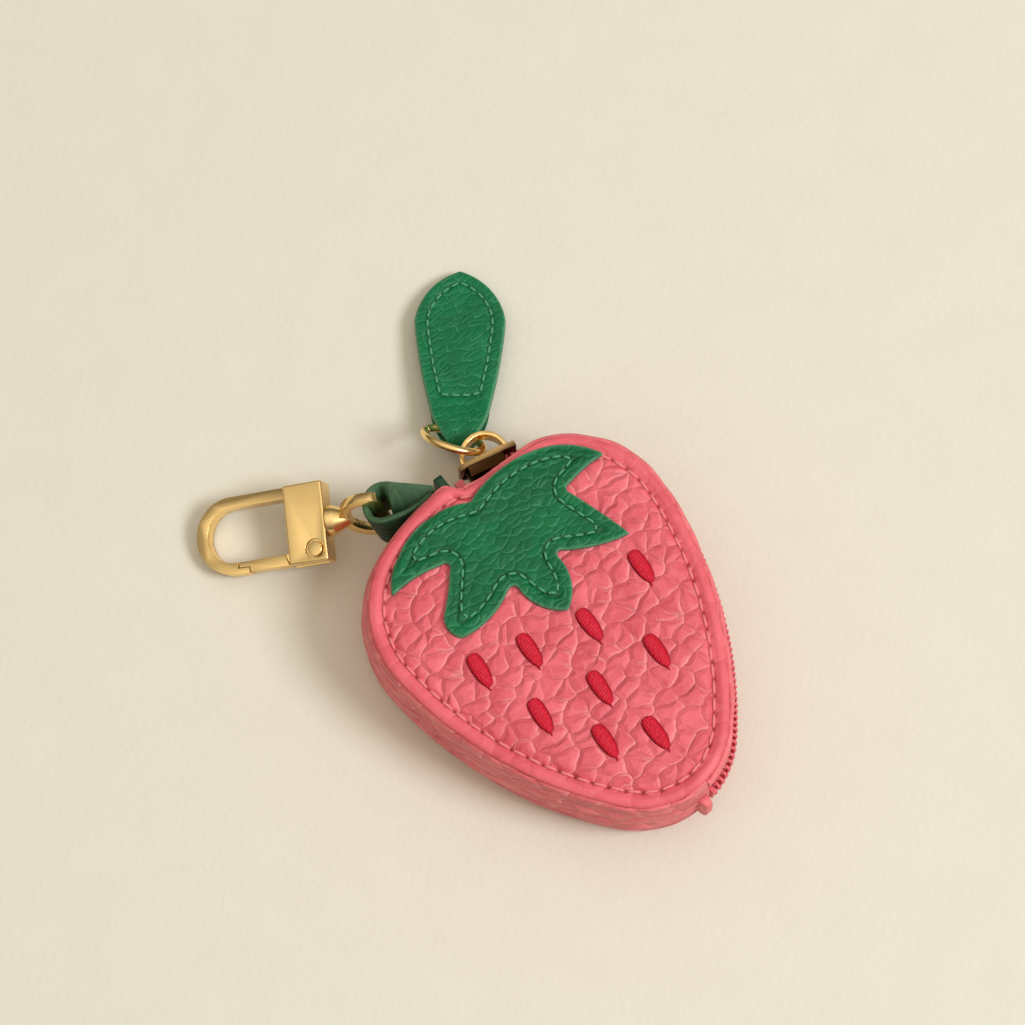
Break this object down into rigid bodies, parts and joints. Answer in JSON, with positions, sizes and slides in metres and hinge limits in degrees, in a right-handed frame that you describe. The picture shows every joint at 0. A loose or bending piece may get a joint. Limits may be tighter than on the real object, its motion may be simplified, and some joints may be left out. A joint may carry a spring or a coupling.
{
  "type": "coin purse bag charm",
  "caption": "Strawberry-shaped leather zip coin purse with a leaf, embroidered seeds, a leather zip pull and a swivel snap hook on a strap loop.",
  "frame": {"origin": "centre of the pouch's back face, which lies on the table", "axes": "+Z out of the front face with the leaf, +Y from the pointed tip towards the leaf, +X to the zip side"},
  "size_m": [0.0799, 0.1205, 0.0236],
  "materials": {
    "pink_leather": "pebbled, semi-gloss",
    "stiffener_board": "matt",
    "lining_cloth": "woven",
    "pink_thread": "twisted thread",
    "green_thread": "twisted thread",
    "zip_tape": "ribbed weave",
    "zip_nylon": "satin",
    "green_leather": "crinkled, semi-gloss",
    "dark_green_leather": "crinkled, semi-gloss",
    "red_thread": "satin stitch",
    "gold_metal": "satin gold plate",
    "spring_steel": "plain"
  },
  "bodies": {
    "pouch": {"back_panel": "pink_leather", "back_stiffener": "stiffener_board", "back_lining": "lining_cloth", "front_lining": "lining_cloth", "front_stiffener": "stiffener_board", "front_panel": "pink_leather", "back_stitching": "pink_thread", "front_stitching": "pink_thread", "gusset": "pink_leather", "gusset_lining": "lining_cloth", "zip_head_patch": "pink_leather", "seam_patch": "pink_leather", "zip_strip_back": "pink_leather", "zip_strip_front": "pink_leather", "zip_tape_front": "zip_tape", "zip_tape_back": "zip_tape", "zip_teeth_front": "zip_nylon", "zip_teeth_back": "zip_nylon", "zip_top_stop_front": "zip_nylon", "zip_top_stop_back": "zip_nylon", "zip_bottom_stop": "zip_nylon", "zip_end_tab": "pink_leather", "leaf": "green_leather", "leaf_stitching": "green_thread", "seed_1": "red_thread", "seed_2": "red_thread", "seed_3": "red_thread", "seed_4": "red_thread", "seed_5": "red_thread", "seed_6": "red_thread", "seed_7": "red_thread", "seed_8": "red_thread", "seed_9": "red_thread", "strap_root": "dark_green_leather", "strap_end": "dark_green_leather"},
    "slider": {"slider_body": "gold_metal", "slider_crown": "gold_metal"},
    "ring": {"pull_ring": "gold_metal"},
    "tab": {"pull_tab": "green_leather", "pull_tab_core": "stiffener_board", "pull_tab_stitching": "green_thread"},
    "strap": {"strap_loop": "dark_green_leather"},
    "eye": {"swivel_eye": "gold_metal"},
    "hook": {"hook_body": "gold_metal", "gate_pin": "gold_metal", "gate_spring": "spring_steel"},
    "gate": {"gate": "gold_metal"}
  },
  "joints": [
    {"name": "slider_travel", "type": "hinge", "parent": "pouch", "child": "slider", "pos_m": [0, -0.01526, 0.011], "axis": [0, 0, -1], "range_deg": [0, 9.5], "deforming": ["zip_teeth_front", "zip_teeth_back"]},
    {"name": "ring_swing", "type": "hinge", "parent": "slider", "child": "ring", "pos_m": [0.01047, 0.0424, 0.011], "axis": [-0.4542, -0.3006, 0.8387], "range_deg": [-20, 12]},
    {"name": "tab_swing", "type": "hinge", "parent": "ring", "child": "tab", "pos_m": [0.00988, 0.04926, 0.00593], "axis": [0.5519, -0.8339, 0], "range_deg": [0, 28]},
    {"name": "strap_flex", "type": "hinge", "parent": "pouch", "child": "strap", "pos_m": [-0.00409, 0.04003, 0.01604], "axis": [-0.1069, 0.381, 0.9184], "range_deg": [-30, 3]},
    {"name": "eye_swing", "type": "hinge", "parent": "strap", "child": "eye", "pos_m": [-0.01347, 0.04337, 0.01356], "axis": [-0.1069, 0.381, 0.9184], "range_deg": [-12, 12]},
    {"name": "swivel_spin", "type": "hinge", "parent": "eye", "child": "hook", "pos_m": [-0.0223, 0.049, 0.0102], "axis": [-0.803, 0.5116, -0.3057], "continuous": true},
    {"name": "gate_swing", "type": "hinge", "parent": "hook", "child": "gate", "pos_m": [-0.02711, 0.0457, 0.00881], "axis": [0.3187, -0.0647, -0.9456], "range_deg": [0, 25], "stiffness_Nm_per_rad": 0.004, "springref_deg": -22.92, "deforming": ["gate_spring"]}
  ]
}
